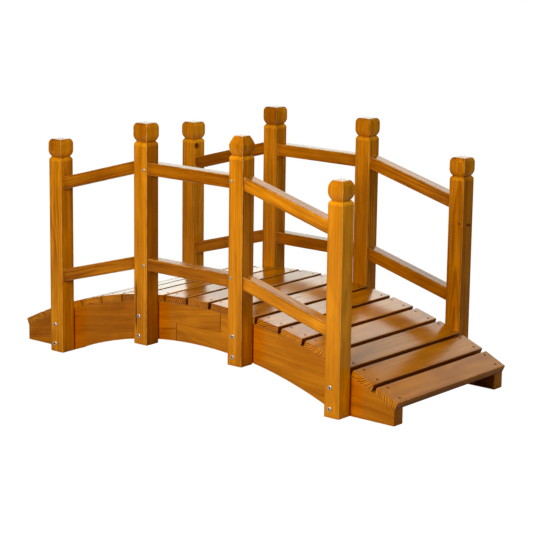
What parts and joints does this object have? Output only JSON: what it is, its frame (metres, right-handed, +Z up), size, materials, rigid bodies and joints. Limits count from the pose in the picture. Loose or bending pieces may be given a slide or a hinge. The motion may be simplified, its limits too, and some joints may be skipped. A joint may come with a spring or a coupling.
{
  "type": "garden bridge",
  "caption": "Arched wooden garden footbridge with slatted deck, curved side beams and post-and-rail handrails with shaped post tops.",
  "frame": {"origin": "centre of the footprint on the ground", "axes": "+X along the bridge, +Y across it towards the far handrail, +Z up"},
  "size_m": [1.5384, 0.6872, 0.796],
  "materials": {
    "beam_wood": "clear gloss varnish over amber stain",
    "post_wood": "clear gloss varnish over amber stain",
    "rail_wood": "clear gloss varnish over amber stain",
    "deck_wood": "clear gloss varnish over amber stain",
    "bolt_zinc": "zinc plated"
  },
  "bodies": {
    "root": {"deck_board_01": "deck_wood", "deck_board_02": "deck_wood", "deck_board_03": "deck_wood", "deck_board_04": "deck_wood", "deck_board_05": "deck_wood", "deck_board_06": "deck_wood", "deck_board_07": "deck_wood", "deck_board_08": "deck_wood", "deck_board_09": "deck_wood", "deck_board_10": "deck_wood", "deck_board_11": "deck_wood", "deck_board_12": "deck_wood", "deck_board_13": "deck_wood", "deck_board_14": "deck_wood", "deck_board_15": "deck_wood", "deck_board_16": "deck_wood", "deck_board_17": "deck_wood", "far_beam_bolts": "bolt_zinc", "far_beam_left": "beam_wood", "far_beam_right": "beam_wood", "far_lower_rail_1": "rail_wood", "far_lower_rail_2": "rail_wood", "far_lower_rail_3": "rail_wood", "far_post_1": "post_wood", "far_post_2": "post_wood", "far_post_3": "post_wood", "far_post_4": "post_wood", "far_upper_rail_1": "rail_wood", "far_upper_rail_2": "rail_wood", "far_upper_rail_3": "rail_wood", "near_beam_bolts": "bolt_zinc", "near_beam_left": "beam_wood", "near_beam_right": "beam_wood", "near_lower_rail_1": "rail_wood", "near_lower_rail_2": "rail_wood", "near_lower_rail_3": "rail_wood", "near_post_1": "post_wood", "near_post_2": "post_wood", "near_post_3": "post_wood", "near_post_4": "post_wood", "near_upper_rail_1": "rail_wood", "near_upper_rail_2": "rail_wood", "near_upper_rail_3": "rail_wood"}
  },
  "joints": []
}
